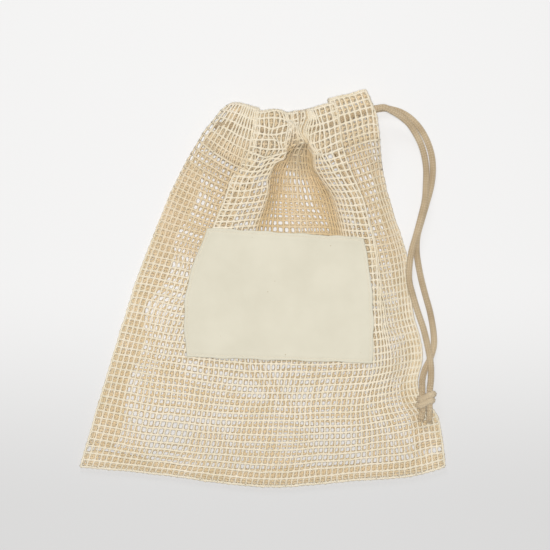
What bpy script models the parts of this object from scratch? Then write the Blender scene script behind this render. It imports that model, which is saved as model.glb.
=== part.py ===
"""Cotton mesh laundry bag, lying flat on its back.

The mouth is gathered on a drawstring that leaves the casing at its right end and is knotted beside
the bag.  +X is to the right, +Y towards the mouth and +Z up, away from the surface that the bag lies
on.  The origin is the middle of the bag's underside.
"""

import math

import bmesh
import bpy
from mathutils import Vector

MM = 0.001

# Cloth
CLOTH = 1.4 * MM
GAP = 0.3 * MM
EDGE_INSET = 2.2 * MM

# Levels of the layers at the bag's edges and under the patch
ALLOWANCE_TOP = 2 * CLOTH + GAP
EDGE_TOP = ALLOWANCE_TOP + GAP + CLOTH
PLATEAU_TOP = 17.0 * MM

# The front layer starts to rise this far inside the edges, and is level from the second distance on
RISE_START = 10.0 * MM
RISE_END = 31.0 * MM

# Casing and drawstring
CORD_RADIUS = 2.5 * MM
CHANNEL_CLEARANCE = 0.3 * MM
CASING_HALF_DEPTH = 17.0 * MM
CASING_HALF_THICKNESS = CORD_RADIUS + CHANNEL_CLEARANCE + CLOTH
MOUTH_GAP = 8.0 * MM
BACK_CASING_Z = CASING_HALF_THICKNESS
FRONT_CASING_Z = BACK_CASING_Z + 2 * CASING_HALF_THICKNESS + MOUTH_GAP
MOUTH_MIDDLE_Z = (BACK_CASING_Z + FRONT_CASING_Z) / 2
TURN_RADIUS = (FRONT_CASING_Z - BACK_CASING_Z) / 2
CASING_LEFT_X = -30.0 * MM
CASING_RIGHT_X = 92.0 * MM
CORD_EXIT_X = 94.0 * MM
CASING_STEPS = 12
TURN_STEPS = 6

# Side edges from the bottom corners to the hem, as (y, x)
LEFT_EDGE = [
    (-147.5, -150.0),
    (-60.0, -124.0),
    (10.0, -102.0),
    (46.0, -88.0),
    (75.0, -76.5),
    (117.0, -55.0),
]
RIGHT_EDGE = [
    (-147.5, 150.0),
    (-122.0, 147.0),
    (-104.0, 142.5),
    (-92.0, 132.0),
    (-78.0, 127.0),
    (-60.0, 131.5),
    (-43.0, 130.0),
    (-22.0, 124.0),
    (28.0, 117.5),
    (64.0, 106.0),
    (87.0, 100.0),
    (127.0, 93.0),
]
BOTTOM_SAG = 16.0 * MM

# Middle line of the casing, as (x, y)
CASING_LINE = [
    (-56.0, 135.6),
    (-30.0, 132.5),
    (27.0, 129.0),
    (62.0, 136.5),
    (82.0, 144.6),
    (98.0, 147.2),
]
HEM_GROOVE = 2.2 * MM

# Seam allowances folded inside, and the threads that close the seams
SIDE_ALLOWANCE = 17.0 * MM
BOTTOM_ALLOWANCE = 12.0 * MM
ALLOWANCE_Z = ALLOWANCE_TOP
SEAM_THREAD_RADIUS = 0.5 * MM
SEAM_THREAD_INSET = 0.7 * MM
SEAM_THREAD_Z = CLOTH + GAP + 1.5 * SEAM_THREAD_RADIUS

# Patch
PATCH_CLOTH = 0.9 * MM
PATCH_CORNERS = [(-62.0, -57.0), (90.0, -62.0), (83.0, 41.0), (-44.5, 49.0)]
PATCH_LEFT_BULGE = 9.4 * MM
PATCH_RIGHT_BULGE = 3.7 * MM
PATCH_STITCH_INSET = 2.5 * MM
PATCH_THREAD_RADIUS = 0.35 * MM

# Free strands of the drawstring, from the casing to the knot, in millimetres
STRAND_A = [
    (94.9, 146.9, 20.6),
    (99.4, 147.3, 20.6),
    (104.5, 145.2, 19.0),
    (113.0, 140.3, 15.6),
    (120.0, 134.6, 12.6),
    (125.9, 126.2, 10.2),
    (130.4, 117.2, 8.6),
    (133.3, 107.4, 7.9),
    (134.6, 97.0, 7.8),
    (134.5, 87.0, 7.8),
    (133.5, 72.0, 7.8),
    (130.0, 57.0, 7.8),
    (126.0, 42.0, 7.8),
    (122.6, 30.0, 7.9),
    (120.8, 18.0, 8.0),
    (120.6, 6.0, 8.0),
    (123.2, -5.0, 7.7),
    (127.6, -19.5, 6.2),
    (132.6, -34.5, 6.2),
    (136.2, -50.0, 7.9),
    (138.2, -63.0, 8.6),
    (138.4, -74.0, 9.4),
    (137.4, -83.4, 10.4),
]
STRAND_B = [
    (94.9, 146.9, 4.2),
    (99.4, 147.5, 4.2),
    (104.5, 147.3, 3.4),
    (114.0, 144.6, 2.8),
    (123.0, 138.8, 2.7),
    (131.0, 129.5, 2.7),
    (136.6, 118.5, 2.7),
    (139.6, 107.8, 2.7),
    (140.4, 97.0, 2.7),
    (139.0, 84.0, 2.7),
    (135.4, 70.0, 2.7),
    (131.0, 55.0, 2.7),
    (127.6, 42.0, 2.7),
    (127.0, 30.0, 2.7),
    (128.4, 19.0, 2.7),
    (131.0, 6.0, 2.7),
    (134.4, -7.0, 2.7),
    (138.0, -20.0, 2.7),
    (140.8, -36.0, 2.7),
    (141.2, -48.0, 2.7),
    (138.0, -59.0, 2.8),
    (133.6, -68.0, 4.6),
    (131.4, -76.0, 7.6),
    (131.2, -83.6, 9.8),
]
CORD_POINT_SPACING = 11.0 * MM
KNOT_CENTRE = (134.2, -92.2, 10.9)
KNOT_HALF_SIZE = (8.0, 7.6, 5.6)
TAIL_A = [(131.6, -100.9, 9.8), (130.9, -104.0, 9.2), (130.2, -108.6, 9.0)]
TAIL_B = [(137.2, -100.9, 9.6), (137.3, -104.0, 8.8), (137.0, -109.4, 8.4)]


def clear_scene():
    for thing in list(bpy.data.objects):
        bpy.data.objects.remove(thing, do_unlink=True)


def new_collection(name):
    collection = bpy.data.collections.new(name)
    bpy.context.scene.collection.children.link(collection)
    return collection


def make_material(name, colour, roughness):
    material = bpy.data.materials.new(name)
    material.use_nodes = True
    shader = material.node_tree.nodes["Principled BSDF"]
    shader.inputs["Base Color"].default_value = (*colour, 1.0)
    shader.inputs["Roughness"].default_value = roughness
    shader.inputs["Metallic"].default_value = 0.0
    return material


def smooth_step(t):
    t = min(max(t, 0.0), 1.0)
    return t * t * (3.0 - 2.0 * t)


def smooth_value(points, at):
    """Read a smooth curve through (position, value) points."""
    k = 0
    while k < len(points) - 2 and at > points[k + 1][0]:
        k += 1

    def slope(i):
        low, high = max(i - 1, 0), min(i + 1, len(points) - 1)
        return (points[high][1] - points[low][1]) / (points[high][0] - points[low][0])

    (start, first), (end, last) = points[k], points[k + 1]
    span = end - start
    t = (at - start) / span
    ease = smooth_step(t)
    lead = t * (1.0 - t) ** 2 * span * slope(k)
    tail = t * t * (t - 1.0) * span * slope(k + 1)
    return first + (last - first) * ease + lead + tail


def route(points, spacing):
    """Points at an even spacing on a smooth curve through the route's own points."""
    knots = [Vector(p) * MM for p in points]
    along = [0.0]
    for a, b in zip(knots, knots[1:]):
        along.append(along[-1] + (b - a).length)
    count = max(3, round(along[-1] / spacing) + 1)
    found = []
    for i in range(count):
        at = along[-1] * i / (count - 1)
        axes = [[(s, knot[axis]) for s, knot in zip(along, knots)] for axis in range(3)]
        found.append(Vector([smooth_value(axis_points, at) for axis_points in axes]))
    return found


def edge_point(points, v):
    """A side edge's point at v, from 0 at the bottom corner to 1 at the hem."""
    y = points[0][0] + (points[-1][0] - points[0][0]) * v
    return Vector((smooth_value(points, y) * MM, y * MM))


def casing_y(x):
    return smooth_value(CASING_LINE, x / MM) * MM


def cloth_point(u, v):
    """A point of the bag seen from above: u runs left to right, v bottom to hem."""
    point = edge_point(LEFT_EDGE, v).lerp(edge_point(RIGHT_EDGE, v), u)
    hem = edge_point(LEFT_EDGE, 1.0).lerp(edge_point(RIGHT_EDGE, 1.0), u)
    groove_y = casing_y(hem.x) - CASING_HALF_DEPTH - HEM_GROOVE
    point.y += v * (groove_y - hem.y) - (1.0 - v) * BOTTOM_SAG * 4.0 * u * (1.0 - u)
    return point


def bag_width(v):
    return edge_point(RIGHT_EDGE, v).x - edge_point(LEFT_EDGE, v).x


def bag_height():
    return (LEFT_EDGE[-1][0] - LEFT_EDGE[0][0]) * MM


def rise(distance):
    """0 at an edge of the bag, 1 away from it."""
    return smooth_step((distance - RISE_START) / (RISE_END - RISE_START))


def side_rise(u, v):
    return rise(min(u, 1.0 - u) * bag_width(v))


def front_level(u, v):
    """Height of the front layer's outer face."""
    crown = rise(v * bag_height()) * (PLATEAU_TOP - EDGE_TOP)
    to_hem = smooth_step((v - 0.80) / 0.20) * (FRONT_CASING_Z + CLOTH / 2 - PLATEAU_TOP)
    return EDGE_TOP + side_rise(u, v) * (crown + to_hem)


def back_level(u, v):
    """Height of the back layer's inner face: flat, then up to the middle of its casing."""
    return CLOTH + side_rise(u, v) * smooth_step((v - 0.94) / 0.06) * (BACK_CASING_Z - CLOTH / 2)


def cloth_sheet(name, place, columns, rows, thickness, collection, material):
    """A sheet whose upper face is place(u, v), thickened downwards."""
    mesh = bpy.data.meshes.new(name)
    sheet = bmesh.new()
    bmesh.ops.create_grid(sheet, x_segments=columns, y_segments=rows, size=0.5)
    for vertex in sheet.verts:
        vertex.co = Vector(place(vertex.co.x + 0.5, vertex.co.y + 0.5))
    bmesh.ops.recalc_face_normals(sheet, faces=sheet.faces)
    if sum(face.normal.z for face in sheet.faces) < 0:
        bmesh.ops.reverse_faces(sheet, faces=sheet.faces)
    sheet.to_mesh(mesh)
    sheet.free()
    piece = add_piece(name, mesh, collection, material)
    thicken = piece.modifiers.new("cloth", "SOLIDIFY")
    thicken.thickness = thickness
    thicken.offset = -1.0
    return piece


def add_piece(name, data, collection, material):
    data.materials.append(material)
    piece = bpy.data.objects.new(name, data)
    collection.objects.link(piece)
    return piece


def tube(name, points, radius, collection, material, closed=False, sides=2):
    """A round tube along the points, with flat ends or closed into a ring."""
    curve = bpy.data.curves.new(name, "CURVE")
    curve.dimensions = "3D"
    curve.bevel_depth = radius
    curve.bevel_resolution = sides
    curve.use_fill_caps = not closed
    spline = curve.splines.new("POLY")
    spline.points.add(len(points) - 1)
    for target, point in zip(spline.points, points):
        target.co = (*point, 1.0)
    spline.use_cyclic_u = closed
    return add_piece(name, curve, collection, material)


def front_mesh_panel(collection, material):
    def place(u, v):
        return (*cloth_point(u, v), front_level(u, v))

    cloth_sheet("front_mesh_panel", place, 22, 26, CLOTH, collection, material)


def back_mesh_panel(collection, material):
    def place(u, v):
        return (*cloth_point(u, v), back_level(u, v))

    cloth_sheet("back_mesh_panel", place, 12, 24, CLOTH, collection, material)


def side_seam_allowance(name, at_left, collection, material):
    """The folded strip behind a side seam, above the back layer."""
    start = (EDGE_INSET + BOTTOM_ALLOWANCE + GAP) / bag_height()

    def place(u, v):
        level = start + (0.93 - start) * v
        inside = (EDGE_INSET + u * SIDE_ALLOWANCE) / bag_width(level)
        return (*cloth_point(inside if at_left else 1.0 - inside, level), ALLOWANCE_Z)

    cloth_sheet(name, place, 2, 28, CLOTH, collection, material)


def bottom_seam_allowance(collection, material):
    """The folded strip behind the bottom seam, from one side seam to the other."""

    def place(u, v):
        level = (EDGE_INSET + v * (BOTTOM_ALLOWANCE - GAP)) / bag_height()
        margin = EDGE_INSET / bag_width(level)
        return (*cloth_point(margin + u * (1.0 - 2.0 * margin), level), ALLOWANCE_Z)

    cloth_sheet("bottom_seam_allowance", place, 20, 1, CLOTH, collection, material)


def side_seam_thread(name, at_left, collection, material):
    """The line of thread between the two layers at a side edge."""
    points = []
    steps = 28
    for i in range(steps + 1):
        v = 0.006 + (0.93 - 0.006) * i / steps
        inside = SEAM_THREAD_INSET / bag_width(v)
        points.append((*cloth_point(inside if at_left else 1.0 - inside, v), SEAM_THREAD_Z))
    tube(name, points, SEAM_THREAD_RADIUS, collection, material, sides=1)


def bottom_seam_thread(collection, material):
    points = []
    steps = 28
    v = SEAM_THREAD_INSET / bag_height()
    for i in range(steps + 1):
        u = 0.008 + (1.0 - 0.016) * i / steps
        points.append((*cloth_point(u, v), SEAM_THREAD_Z))
    tube("bottom_seam_thread", points, SEAM_THREAD_RADIUS, collection, material, sides=1)


def casing_path(side):
    """Middle line of one half of the casing: straight, then a quarter turn to the left side seam."""
    path = []
    for i in range(CASING_STEPS):
        x = CASING_RIGHT_X + (CASING_LEFT_X - CASING_RIGHT_X) * i / CASING_STEPS
        path.append((x, 0.0))
    last = math.asin(1.0) - GAP / 2 / TURN_RADIUS
    for i in range(TURN_STEPS + 1):
        path.append((CASING_LEFT_X, last * i / TURN_STEPS))
    points = []
    for x, turn in path:
        outward = Vector((-math.sin(turn), 0.0, side * math.cos(turn)))
        middle = Vector((x, 0.0, MOUTH_MIDDLE_Z)) + outward * TURN_RADIUS
        middle.y = casing_y(middle.x)
        points.append((middle, outward))
    return points


def casing(name, side, collection, material):
    """A flattened cloth tube round one side of the mouth, open where the cord leaves it."""
    path = casing_path(side)
    around = 16
    flatness = 0.62
    mesh = bpy.data.meshes.new(name)
    sleeve = bmesh.new()
    bmesh.ops.create_grid(sleeve, x_segments=around, y_segments=len(path) - 1, size=0.5)
    for vertex in sleeve.verts:
        angle = 2.0 * math.pi * (vertex.co.x + 0.5)
        middle, outward = path[round((vertex.co.y + 0.5) * (len(path) - 1))]
        across = math.copysign(abs(math.cos(angle)) ** flatness, math.cos(angle))
        out = math.copysign(abs(math.sin(angle)) ** flatness, math.sin(angle))
        vertex.co = middle + outward * (out * CASING_HALF_THICKNESS)
        vertex.co.y += across * CASING_HALF_DEPTH
    bmesh.ops.remove_doubles(sleeve, verts=sleeve.verts, dist=0.00001)
    bmesh.ops.recalc_face_normals(sleeve, faces=sleeve.faces)
    sleeve.to_mesh(mesh)
    sleeve.free()
    piece = add_piece(name, mesh, collection, material)
    thicken = piece.modifiers.new("cloth", "SOLIDIFY")
    thicken.thickness = CLOTH
    thicken.offset = -1.0
    thicken.use_even_offset = True


def casing_stitching(name, level, collection, material):
    """The hem's line of thread, in the groove between a panel and its casing."""
    points = []
    steps = 24
    for i in range(steps + 1):
        x = CASING_LEFT_X + (CASING_RIGHT_X - CASING_LEFT_X) * i / steps
        points.append((x, casing_y(x) - CASING_HALF_DEPTH - HEM_GROOVE / 2, level))
    tube(name, points, SEAM_THREAD_RADIUS, collection, material, sides=1)


def patch_point(u, v, inset=0.0):
    bottom_left, bottom_right, top_right, top_left = [Vector(c) * MM for c in PATCH_CORNERS]
    width, height = (bottom_right - bottom_left).length, (top_left - bottom_left).length
    u = (inset + u * (width - 2 * inset)) / width
    v = (inset + v * (height - 2 * inset)) / height
    point = bottom_left.lerp(bottom_right, u).lerp(top_left.lerp(top_right, u), v)
    point.x += math.sin(math.pi * v) * (PATCH_RIGHT_BULGE * u - PATCH_LEFT_BULGE * (1.0 - u))
    return point


def canvas_patch(collection, material):
    def place(u, v):
        return (*patch_point(u, v), PLATEAU_TOP + GAP + PATCH_CLOTH)

    cloth_sheet("canvas_patch", place, 6, 8, PATCH_CLOTH, collection, material)


def patch_stitching(collection, material):
    """One line of thread round the patch, just inside its turned edge."""
    level = PLATEAU_TOP + 2 * GAP + PATCH_CLOTH + PATCH_THREAD_RADIUS
    corners = [(0, 0), (1, 0), (1, 1), (0, 1)]
    points = []
    for (u0, v0), (u1, v1) in zip(corners, corners[1:] + corners[:1]):
        for i in range(8):
            t = i / 8
            spot = patch_point(u0 + (u1 - u0) * t, v0 + (v1 - v0) * t, PATCH_STITCH_INSET)
            points.append((*spot, level))
    tube("patch_stitching", points, PATCH_THREAD_RADIUS, collection, material, closed=True, sides=1)


def drawstring_loop(collection, material):
    """The cord's run inside the casing: along the front, round the left end and back."""
    path = []
    run = CORD_EXIT_X - CASING_LEFT_X
    steps = 11
    for i in range(steps):
        path.append((CORD_EXIT_X - run * i / steps, 0.0))
    for i in range(9):
        path.append((CASING_LEFT_X, math.pi * i / 8))
    for i in range(1, steps + 1):
        path.append((CASING_LEFT_X + run * i / steps, math.pi))
    points = []
    for x, turn in path:
        x -= TURN_RADIUS * math.sin(turn)
        points.append(Vector((x, casing_y(x), MOUTH_MIDDLE_Z + TURN_RADIUS * math.cos(turn))))
    tube("drawstring_loop", points, CORD_RADIUS, collection, material)


def drawstring_knot(collection, material):
    """The outer shape of the overhand knot that ties both strands."""
    mesh = bpy.data.meshes.new("drawstring_knot")
    form = bmesh.new()
    bmesh.ops.create_uvsphere(form, u_segments=20, v_segments=12, radius=MM)
    bmesh.ops.scale(form, vec=KNOT_HALF_SIZE, verts=form.verts)
    form.to_mesh(mesh)
    form.free()
    mesh.shade_smooth()
    piece = add_piece("drawstring_knot", mesh, collection, material)
    piece.location = Vector(KNOT_CENTRE) * MM


def build():
    clear_scene()
    bag = new_collection("mesh_laundry_bag")
    net = make_material("cotton_net", (0.80, 0.72, 0.57), 0.85)
    canvas = make_material("cotton_canvas", (0.78, 0.74, 0.62), 0.9)
    thread = make_material("sewing_thread", (0.86, 0.82, 0.72), 0.7)
    braid = make_material("braided_cord", (0.60, 0.52, 0.37), 0.8)

    front_mesh_panel(bag, net)
    back_mesh_panel(bag, net)
    side_seam_allowance("left_seam_allowance", True, bag, net)
    side_seam_allowance("right_seam_allowance", False, bag, net)
    bottom_seam_allowance(bag, net)
    side_seam_thread("left_seam_thread", True, bag, thread)
    side_seam_thread("right_seam_thread", False, bag, thread)
    bottom_seam_thread(bag, thread)
    casing("front_casing", 1.0, bag, net)
    casing("back_casing", -1.0, bag, net)
    casing_stitching("front_casing_stitching", FRONT_CASING_Z, bag, thread)
    casing_stitching("back_casing_stitching", BACK_CASING_Z, bag, thread)
    canvas_patch(bag, canvas)
    patch_stitching(bag, thread)

    drawstring_loop(bag, braid)
    for name, points in [("drawstring_strand_a", STRAND_A), ("drawstring_strand_b", STRAND_B)]:
        tube(name, route(points, CORD_POINT_SPACING), CORD_RADIUS, bag, braid)
    drawstring_knot(bag, braid)
    for name, points in [("drawstring_tail_a", TAIL_A), ("drawstring_tail_b", TAIL_B)]:
        tube(name, route(points, CORD_POINT_SPACING / 4), CORD_RADIUS, bag, braid)


build()
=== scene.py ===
"""Looks of the mesh laundry bag: its net, seams, canvas patch, stitching and braided drawstring."""

import math

import bpy
import numpy as np
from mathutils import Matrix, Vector


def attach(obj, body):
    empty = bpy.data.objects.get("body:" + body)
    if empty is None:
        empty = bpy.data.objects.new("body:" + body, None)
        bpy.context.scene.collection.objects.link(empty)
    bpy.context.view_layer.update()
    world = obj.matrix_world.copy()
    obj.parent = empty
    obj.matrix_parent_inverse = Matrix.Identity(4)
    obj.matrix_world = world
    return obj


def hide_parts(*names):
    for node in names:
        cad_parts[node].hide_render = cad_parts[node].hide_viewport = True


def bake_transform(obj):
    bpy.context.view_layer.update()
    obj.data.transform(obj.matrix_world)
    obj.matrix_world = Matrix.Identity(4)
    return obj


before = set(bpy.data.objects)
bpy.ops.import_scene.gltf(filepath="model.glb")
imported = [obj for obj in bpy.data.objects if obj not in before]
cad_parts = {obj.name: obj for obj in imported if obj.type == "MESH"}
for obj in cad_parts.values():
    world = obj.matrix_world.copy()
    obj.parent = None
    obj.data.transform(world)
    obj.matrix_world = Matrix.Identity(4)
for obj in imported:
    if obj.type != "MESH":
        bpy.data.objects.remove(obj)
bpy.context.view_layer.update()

MM = 0.001
RNG = np.random.default_rng(11)

# Sizes are in millimetres, unless a comment says otherwise

# The net: its openings across, up to the hem and in the hem, and its size laid flat
COLUMNS = 64
ROWS = 47
HEM_ROWS = 6
NET_WIDTH = 300.0
COLUMN_PITCH = NET_WIDTH / COLUMNS
ROW_PITCH = 6.1

# Side edges of the bag from the bottom corners to the top of the mouth
LEFT_EDGE = [
    (-150.0, -147.5), (-124.0, -60.0), (-102.0, 10.0), (-88.0, 46.0), (-76.5, 75.0), (-68.0, 93.0),
    (-59.5, 108.0), (-52.5, 118.5), (-44.0, 128.5), (-35.0, 139.0), (-28.5, 148.5),
]
RIGHT_EDGE = [
    (150.0, -147.5), (147.0, -122.0), (142.5, -104.0), (130.5, -91.0), (127.0, -77.0), (131.0, -60.0),
    (129.5, -43.0), (123.5, -22.0), (117.5, 28.0), (106.0, 64.0), (99.5, 90.0), (94.5, 124.0), (92.0, 143.0),
    (87.0, 155.0),
]
BOTTOM_EDGE = [
    (-150.0, -147.5), (-110.0, -150.9), (-68.0, -155.8), (-38.0, -160.0), (10.0, -164.0), (74.6, -158.6),
    (122.5, -155.0), (150.0, -147.5),
]

# Route of the drawstring's free strands and tails, as in the frame
STRAND_A = [
    (94.9, 146.9, 20.6), (99.4, 147.3, 20.6), (104.5, 145.2, 19.0), (113.0, 140.3, 15.6),
    (120.0, 134.6, 12.6), (125.9, 126.2, 10.2), (130.4, 117.2, 8.6), (133.3, 107.4, 7.9),
    (134.6, 97.0, 7.8), (134.5, 87.0, 7.8), (133.5, 72.0, 7.8), (130.0, 57.0, 7.8), (126.0, 42.0, 7.8),
    (122.6, 30.0, 7.9), (120.8, 18.0, 8.0), (120.6, 6.0, 8.0), (123.2, -5.0, 7.7), (127.6, -19.5, 6.2),
    (132.6, -34.5, 6.2), (136.2, -50.0, 7.9), (138.2, -63.0, 8.6), (138.4, -74.0, 9.4),
    (137.4, -83.4, 10.4),
]
STRAND_B = [
    (94.9, 146.9, 4.2), (99.4, 147.5, 4.2), (104.5, 147.3, 3.4), (114.0, 144.6, 2.8), (123.0, 138.8, 2.7),
    (131.0, 129.5, 2.7), (136.6, 118.5, 2.7), (139.6, 107.8, 2.7), (140.4, 97.0, 2.7), (139.0, 84.0, 2.7),
    (135.4, 70.0, 2.7), (131.0, 55.0, 2.7), (127.6, 42.0, 2.7), (127.0, 30.0, 2.7), (128.4, 19.0, 2.7),
    (131.0, 6.0, 2.7), (134.4, -7.0, 2.7), (138.0, -20.0, 2.7), (140.8, -36.0, 2.7), (141.2, -48.0, 2.7),
    (138.0, -59.0, 2.8), (133.6, -68.0, 4.6), (131.4, -76.0, 7.6), (131.2, -83.6, 9.8),
]
TAIL_A = [(131.6, -100.9, 9.8), (130.9, -104.0, 9.2), (130.2, -108.6, 9.0)]
TAIL_B = [(137.2, -100.9, 9.6), (137.3, -104.0, 8.8), (137.0, -109.4, 8.4)]


# ---------- camera, floor and light

VIEW_CENTRE = (10.2, 10.3)
VIEW_WIDTH = 454.3
CAMERA_HEIGHT = 1900.0
SENSOR_WIDTH = 36.0
# The floor's side, in metres
FLOOR_SIZE = 6.0
# Painted shade on the paper floor: it turns from its darker near grey to its far grey between these places
# along Y
FLOOR_SHADE_FADE = (-190.0, 10.0)
FLOOR_NEAR_SHADED, FLOOR_FAR = (0.41, 0.413, 0.42), (0.545, 0.55, 0.56)
FLOOR_GLOW = 0.22
FLOOR_GLOW_COLOUR = (1.0, 0.995, 0.985, 1.0)
WORLD_COLOUR = (1.0, 0.99, 0.965, 1.0)
WORLD_STRENGTH = 0.2


def make_camera():
    data = bpy.data.cameras.new("camera")
    data.sensor_width = SENSOR_WIDTH
    data.lens = SENSOR_WIDTH * CAMERA_HEIGHT / VIEW_WIDTH
    camera = bpy.data.objects.new("camera", data)
    bpy.context.scene.collection.objects.link(camera)
    camera.location = Vector((*VIEW_CENTRE, CAMERA_HEIGHT)) * MM
    bpy.context.scene.camera = camera


def make_floor():
    bpy.ops.mesh.primitive_plane_add(size=FLOOR_SIZE)
    floor = bpy.context.object
    floor.name = "floor"
    material, shader, tree = new_material("floor_paper", roughness=0.95, specular=0.1)
    place = tree.nodes.new("ShaderNodeTexCoord")
    axes = tree.nodes.new("ShaderNodeSeparateXYZ")
    reach = tree.nodes.new("ShaderNodeMapRange")
    reach.inputs["From Min"].default_value = FLOOR_SHADE_FADE[0] * MM
    reach.inputs["From Max"].default_value = FLOOR_SHADE_FADE[1] * MM
    reach.interpolation_type = "SMOOTHSTEP"
    link(tree, place.outputs["Object"], axes.inputs[0])
    link(tree, axes.outputs["Y"], reach.inputs["Value"])
    # Painted shade, darker towards the near side
    shaded_paper = ramped(tree, reach.outputs["Result"], FLOOR_NEAR_SHADED, FLOOR_FAR)
    link(tree, shaded_paper, shader.inputs["Base Color"])
    shader.inputs["Emission Color"].default_value = FLOOR_GLOW_COLOUR
    shader.inputs["Emission Strength"].default_value = FLOOR_GLOW
    floor.data.materials.append(material)


def area_light(name, location, aim, size, power, colour):
    """A round soft light; location, aim and size are in metres."""
    data = bpy.data.lights.new(name, "AREA")
    data.shape = "DISK"
    data.size = size
    data.energy = power
    data.color = colour
    light = bpy.data.objects.new(name, data)
    bpy.context.scene.collection.objects.link(light)
    light.location = location
    light.rotation_euler = (Vector(aim) - Vector(location)).to_track_quat("-Z", "Y").to_euler()


def make_light():
    area_light(
        "overhead", location=(0.01, 0.02, 2.1), aim=(0.01, 0.01, 0.0), size=0.24, power=41.5,
        colour=(1.0, 0.985, 0.965),
    )
    area_light(
        "window", location=(-0.3, 1.3, 1.1), aim=(0.0, 0.0, 0.0), size=0.7, power=5.0,
        colour=(1.0, 0.985, 0.96),
    )
    world = bpy.data.worlds.new("studio")
    bpy.context.scene.world = world
    world.use_nodes = True
    background = world.node_tree.nodes["Background"]
    background.inputs["Color"].default_value = WORLD_COLOUR
    background.inputs["Strength"].default_value = WORLD_STRENGTH
    bpy.context.scene.view_settings.view_transform = "Standard"


# ---------- materials


# Each yarn's two natural colours, and the tint of the painted shade on its deep or covered stretches, which
# on the cord also darkens the carriers that wind one way
NET_YARN = {
    "low": (0.895, 0.845, 0.69), "high": (0.965, 0.92, 0.80), "deep_shade": (0.82, 0.68, 0.48),
    "glow": (0.98, 0.81, 0.46),
}
CORD_YARN = {"low": (0.48, 0.38, 0.25), "high": (0.64, 0.54, 0.385), "deep_shade": (0.66, 0.58, 0.46)}
SEWING_YARN = {"low": (0.70, 0.65, 0.53), "high": (0.76, 0.71, 0.59)}
WHITE = (1.0, 1.0, 1.0)
# Painted shade in the grooves of each yarn's twist
GROOVE_SHADE = (0.88, 0.85, 0.80)
GLOW_SHARE = 0.3
FIBRE_SHARE = 0.5
CANVAS_LOW, CANVAS_HIGH = (0.59, 0.563, 0.462), (0.63, 0.603, 0.50)
SEED_TINT = (0.62, 0.54, 0.40)


def new_material(name, roughness, specular):
    material = bpy.data.materials.new(name)
    material["slot"] = name
    material.use_nodes = True
    tree = material.node_tree
    shader = tree.nodes["Principled BSDF"]
    shader.inputs["Roughness"].default_value = roughness
    shader.inputs["Specular IOR Level"].default_value = specular
    return material, shader, tree


def add_sheen(shader, weight):
    shader.inputs["Sheen Weight"].default_value = weight
    shader.inputs["Sheen Roughness"].default_value = 0.6


def link(tree, source, target):
    tree.links.new(source, target)


def ramped(tree, value, low, high, low_at=0.0, high_at=1.0):
    """A colour that goes from low to high as a value does from low_at to high_at."""
    ramp = tree.nodes.new("ShaderNodeValToRGB")
    for element, colour, position in zip(ramp.color_ramp.elements, (low, high), (low_at, high_at)):
        element.position = position
        element.color = (*colour, 1.0)
    link(tree, value, ramp.inputs["Fac"])
    return ramp.outputs["Color"]


def object_texture(tree, kind, **settings):
    """A procedural texture that is laid out in the piece's own space."""
    place = tree.nodes.new("ShaderNodeTexCoord")
    texture = tree.nodes.new(f"ShaderNodeTex{kind}")
    for name, value in settings.items():
        texture.inputs[name].default_value = value
    link(tree, place.outputs["Object"], texture.inputs["Vector"])
    return texture


def object_noise(tree, scale, detail):
    return object_texture(tree, "Noise", Scale=scale, Detail=detail).outputs["Fac"]


def attribute(tree, name):
    node = tree.nodes.new("ShaderNodeAttribute")
    node.attribute_name = name
    return node.outputs["Fac"]


def combined(tree, operation, *values):
    """The result of a Math node, whose values are numbers or other nodes' outputs."""
    node = tree.nodes.new("ShaderNodeMath")
    node.operation = operation
    for socket, value in zip(node.inputs, values):
        if isinstance(value, float):
            socket.default_value = value
        else:
            link(tree, value, socket)
    return node.outputs[0]


def multiplied(tree, colour):
    """A node that multiplies a colour, by its Factor, with its socket B."""
    mix = tree.nodes.new("ShaderNodeMix")
    mix.data_type = "RGBA"
    mix.blend_type = "MULTIPLY"
    link(tree, colour, mix.inputs["A"])
    return mix


def add_bump(tree, shader, height, strength, distance):
    bump = tree.nodes.new("ShaderNodeBump")
    bump.inputs["Strength"].default_value = strength
    bump.inputs["Distance"].default_value = distance
    link(tree, height, bump.inputs["Height"])
    link(tree, bump.outputs["Normal"], shader.inputs["Normal"])


def twisted_yarn(name, low, high, deep_shade=WHITE, glow=None):
    """Cotton yarn: a twist along each strand with painted shade in its grooves, blotchy natural colour, a
    fibrous surface, and a darker tint laid on by a vertex attribute: painted shade in folds, under layers
    and the cord's core, and the tone of a braid's carriers that wind one way.
    """
    material, shader, tree = new_material(name, roughness=0.9, specular=0.2)
    add_sheen(shader, 0.25)
    blotches = object_noise(tree, scale=55.0, detail=4.0)
    fibres = object_noise(tree, scale=2600.0, detail=2.0)
    twist = combined(tree, "SINE", combined(tree, "MULTIPLY", attribute(tree, "twist"), 2.0 * math.pi))
    add_bump(tree, shader, combined(tree, "MULTIPLY_ADD", fibres, FIBRE_SHARE, twist), 0.35, 0.00015)

    # Painted shade: darker in the grooves across the twist
    groove_shaded = multiplied(tree, ramped(tree, blotches, low, high, 0.3, 0.7))
    groove_shaded.inputs["Factor"].default_value = 0.5
    across_twist = combined(tree, "MULTIPLY_ADD", twist, 0.5, 0.5)
    link(tree, ramped(tree, across_twist, GROOVE_SHADE, WHITE, 0.0, 0.45), groove_shaded.inputs["B"])
    # Painted shade: the darker tint, by the vertex attribute's amount, on folds, under layers and the cord's
    # core, and the braid's darker carriers
    shade_tinted = multiplied(tree, groove_shaded.outputs["Result"])
    shade_tinted.inputs["B"].default_value = (*deep_shade, 1.0)
    link(tree, attribute(tree, "tone_and_painted_shade"), shade_tinted.inputs["Factor"])
    link(tree, shade_tinted.outputs["Result"], shader.inputs["Base Color"])
    if glow:
        let_light_through(tree, shader, glow)
    return material


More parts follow.
